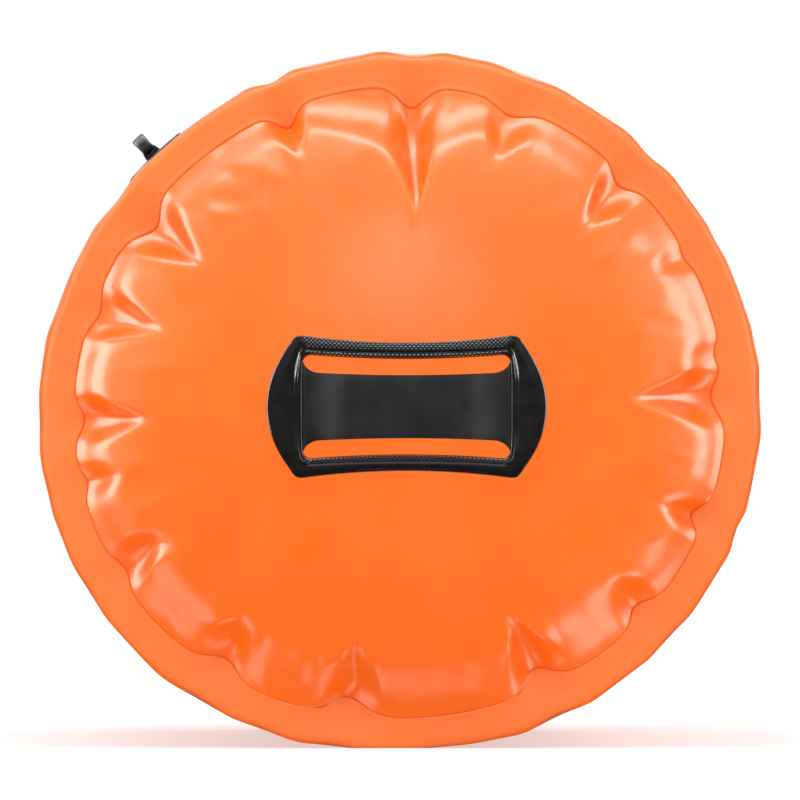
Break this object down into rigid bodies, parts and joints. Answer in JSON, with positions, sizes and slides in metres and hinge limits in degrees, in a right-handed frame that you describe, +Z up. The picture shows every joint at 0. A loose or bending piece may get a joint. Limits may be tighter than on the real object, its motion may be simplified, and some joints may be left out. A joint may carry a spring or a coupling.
{
  "type": "dry bag",
  "caption": "Round roll-top dry bag of welded coated fabric with a lash patch on its domed base, a side lash ring and a buckled closure.",
  "frame": {"origin": "on the ground under the middle of the bag, which lies on its side on a flattened strip of its wall", "axes": "+Y along the bag from its base to its rolled closure, +Z up, +X to the right when looking at the base"},
  "size_m": [0.261, 0.5562, 0.2519],
  "materials": {
    "coated_fabric": "satin coated fabric with a faint weave",
    "welded_patch": "satin coated patch with knurled weld lines",
    "webbing": "woven webbing",
    "moulded_plastic": "moulded, satin",
    "stiffener_plastic": "natural",
    "rivet_metal": "brushed"
  },
  "bodies": {
    "bag": {"body_tube": "coated_fabric", "base_disc": "coated_fabric", "wall_seam_strip": "coated_fabric", "neck_panel": "coated_fabric", "lash_patch": "welded_patch", "lash_bridge": "welded_patch", "side_patch": "welded_patch", "side_keeper": "webbing"},
    "side_ring": {"side_ring": "moulded_plastic"},
    "closure": {"neck_fold": "coated_fabric", "roll_wrap": "coated_fabric", "mouth_hem_front": "coated_fabric", "mouth_hem_back": "coated_fabric", "mouth_stiffener_front": "stiffener_plastic", "mouth_stiffener_back": "stiffener_plastic", "strap_left": "webbing", "strap_right": "webbing", "rivet_left": "rivet_metal", "rivet_right": "rivet_metal", "buckle_socket": "moulded_plastic"},
    "plug": {"buckle_plug": "moulded_plastic", "strap_tail": "webbing"},
    "prong_upper": {"buckle_prong_upper": "moulded_plastic"},
    "prong_lower": {"buckle_prong_lower": "moulded_plastic"}
  },
  "joints": [
    {"name": "side_ring_swing", "type": "hinge", "parent": "bag", "child": "side_ring", "pos_m": [-0.09147, -0.2014, 0.21738], "axis": [0, 1, 0], "range_deg": [-80, 80]},
    {"name": "closure_tilt", "type": "hinge", "parent": "bag", "child": "closure", "pos_m": [0, 0.1666, 0.1256], "axis": [1, 0, 0], "range_deg": [-35, 35]},
    {"name": "buckle_slide", "type": "slide", "parent": "closure", "child": "plug", "axis": [1, 0, 0], "range_m": [0, 0.0205]},
    {"name": "prong_upper_press", "type": "hinge", "parent": "plug", "child": "prong_upper", "pos_m": [-0.0036, 0.2655, 0.1346], "axis": [0, -1, 0], "range_deg": [0, 8], "stiffness_Nm_per_rad": 0.5},
    {"name": "prong_lower_press", "type": "hinge", "parent": "plug", "child": "prong_lower", "pos_m": [-0.0036, 0.2655, 0.1166], "axis": [0, 1, 0], "range_deg": [0, 8], "stiffness_Nm_per_rad": 0.5}
  ],
  "couplings": [
    {"joint": "prong_lower_press", "follows": "prong_upper_press", "ratio": 1}
  ]
}
